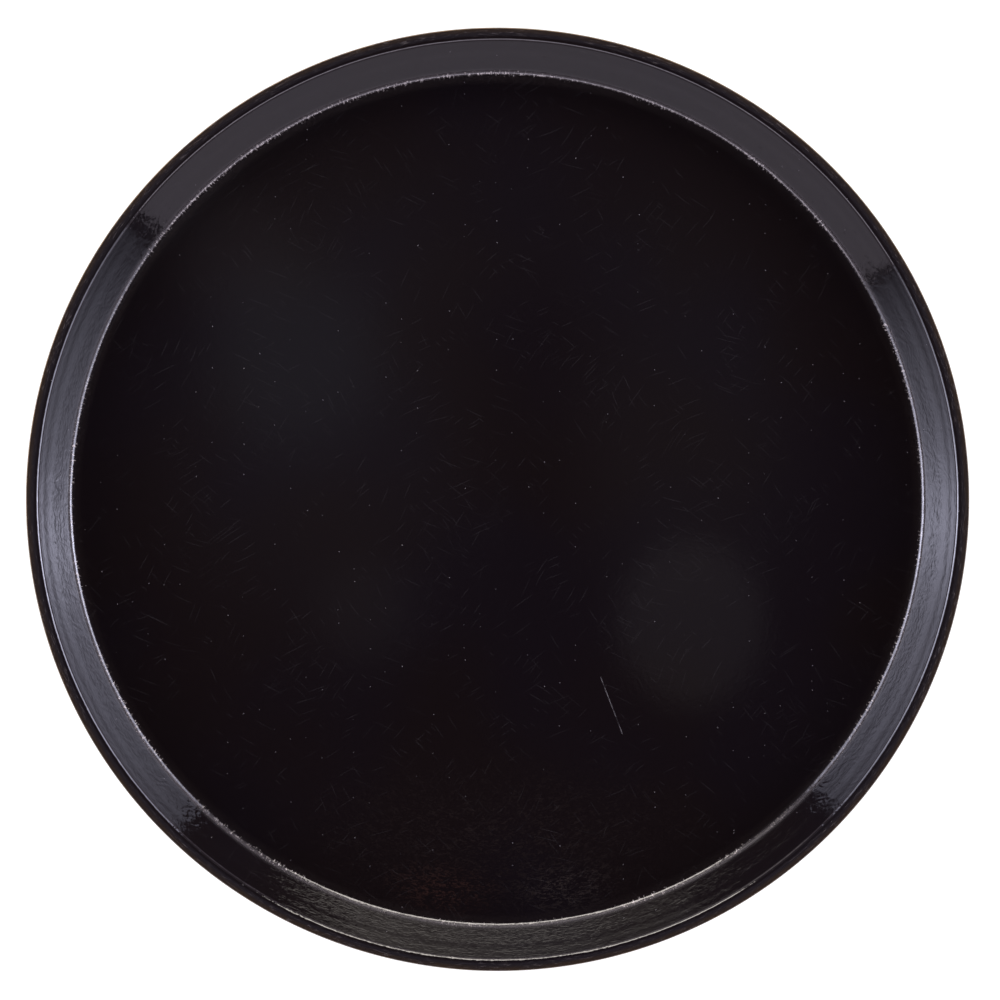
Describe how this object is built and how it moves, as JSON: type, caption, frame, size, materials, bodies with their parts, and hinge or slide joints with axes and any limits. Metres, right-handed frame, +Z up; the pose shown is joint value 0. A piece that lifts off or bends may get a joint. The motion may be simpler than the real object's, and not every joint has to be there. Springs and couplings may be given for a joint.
{
  "type": "serving tray",
  "caption": "Round black gloss serving tray: flat floor, low flared wall and rolled, wire-stiffened rim, laminated from glass-fibre plies.",
  "frame": {"origin": "centre of the flat underside, on the surface the tray stands on", "axes": "+Z up along the tray's axis of revolution, out of the well; +X and +Y are interchangeable on a round tray"},
  "size_m": [0.3556, 0.3556, 0.022],
  "materials": {
    "gloss_face": "gloss, faint fibre print-through, fine hair scratches",
    "glass_mat": "black-pigmented polyester in chopped glass mat, amber brown where it is cut",
    "wire": "drawn",
    "matt_back": "satin, with the glass mat showing faintly through"
  },
  "bodies": {
    "root": {"surface_veil": "gloss_face", "upper_glass_mat": "glass_mat", "rim_wire": "wire", "lower_glass_mat": "glass_mat", "back_veil": "matt_back"}
  },
  "joints": []
}
